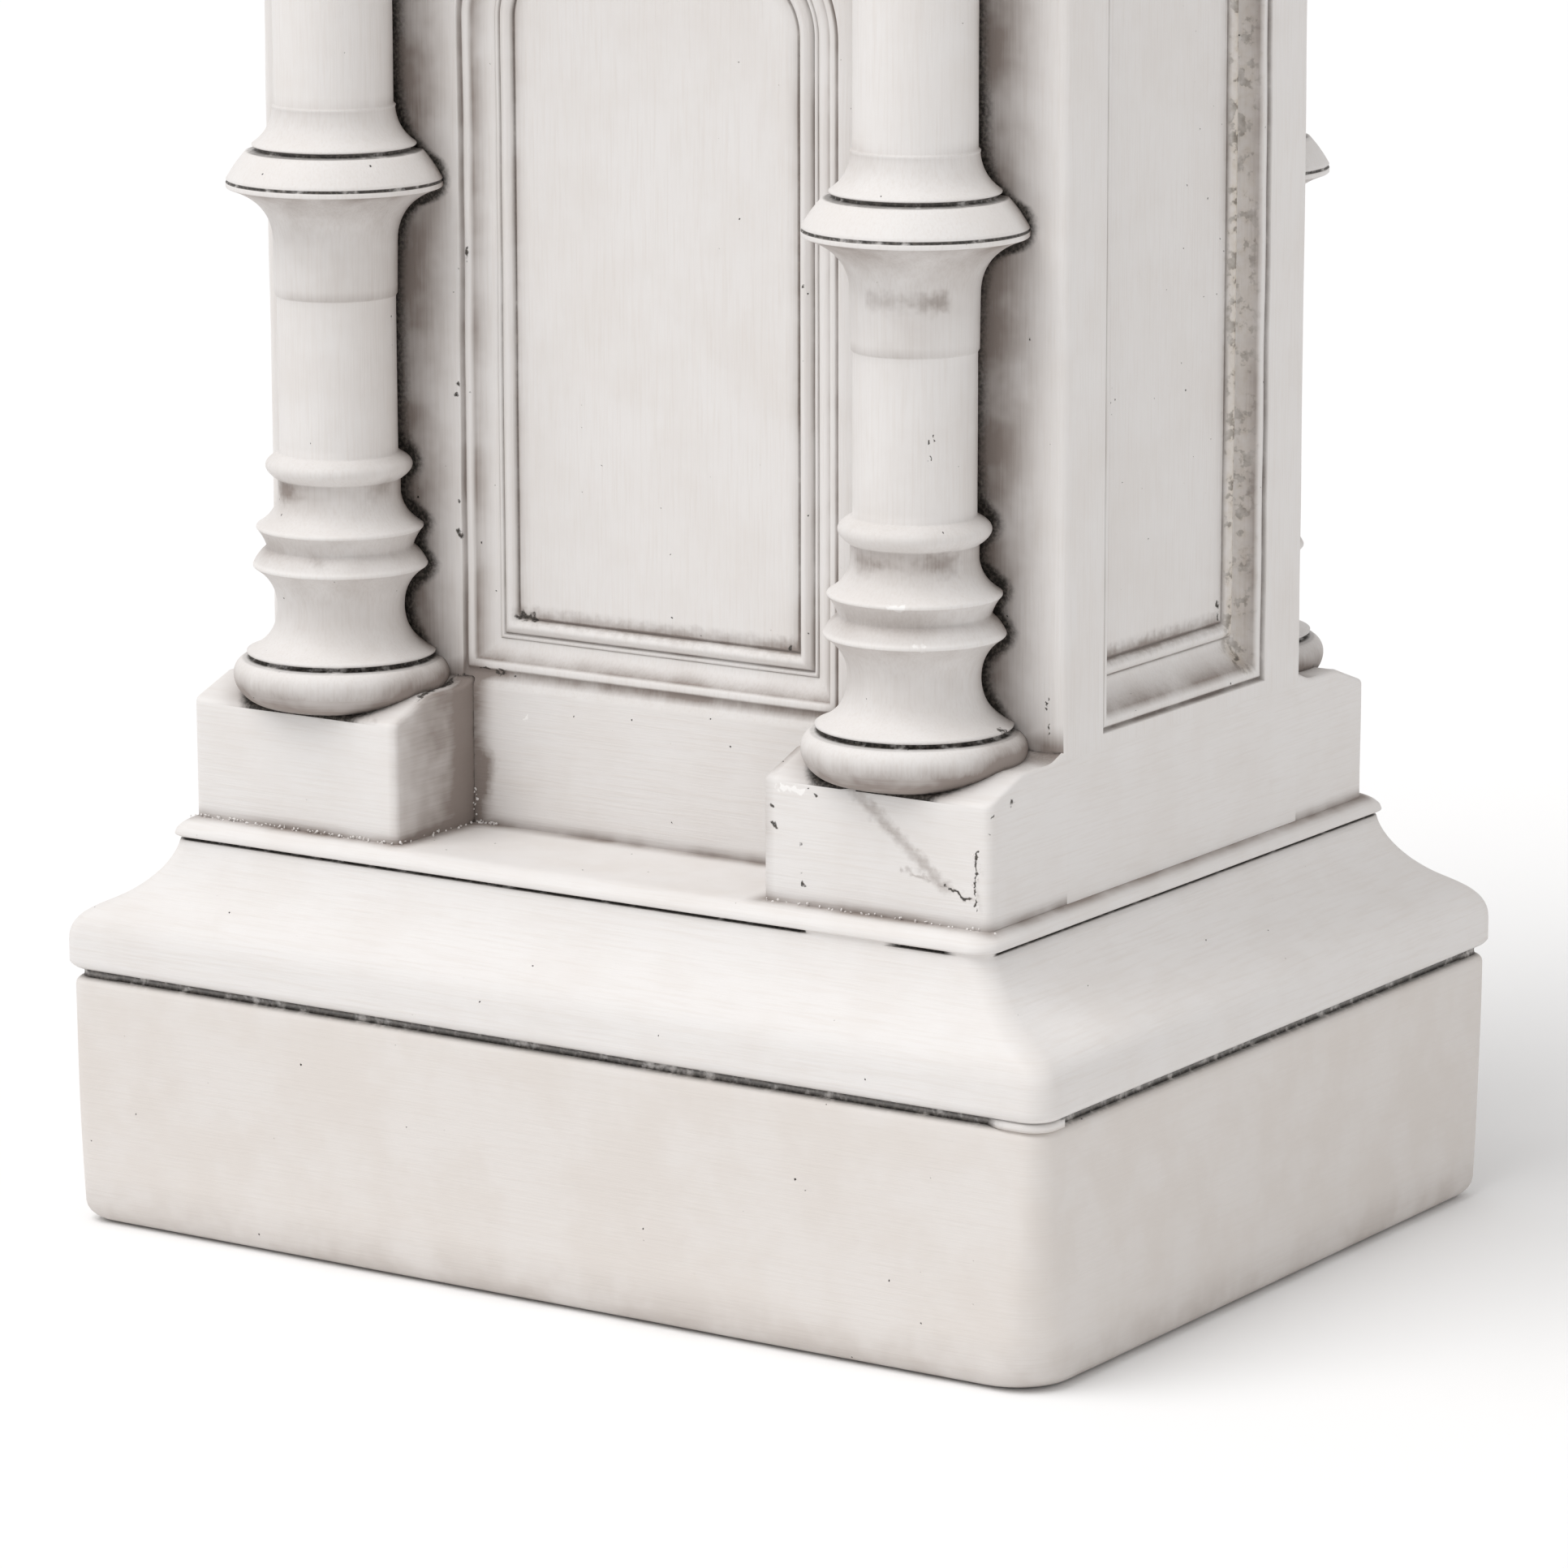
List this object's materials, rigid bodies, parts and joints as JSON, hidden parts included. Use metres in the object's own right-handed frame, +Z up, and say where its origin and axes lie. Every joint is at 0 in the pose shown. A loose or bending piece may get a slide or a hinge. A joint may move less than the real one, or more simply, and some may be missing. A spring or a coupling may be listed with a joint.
{
  "type": "column plant stand",
  "caption": "Gothic pedestal that carries a plant pot: plinth and ogee moulding, body with sunk arched panels, turned colonnettes on blocks, cornice with a flat top.",
  "frame": {"origin": "centre of the underside, on the surface that the stand rests on", "axes": "+Z up, +X to the right seen from the front, and the front with its wide panel faces -Y"},
  "size_m": [0.3424, 0.2604, 0.61],
  "materials": {
    "antiqued_paint": "matt off-white paint over a cast stone mix, with a grey-brown wash in its hollows"
  },
  "bodies": {
    "root": {"gothic_pedestal": "antiqued_paint"}
  },
  "joints": []
}
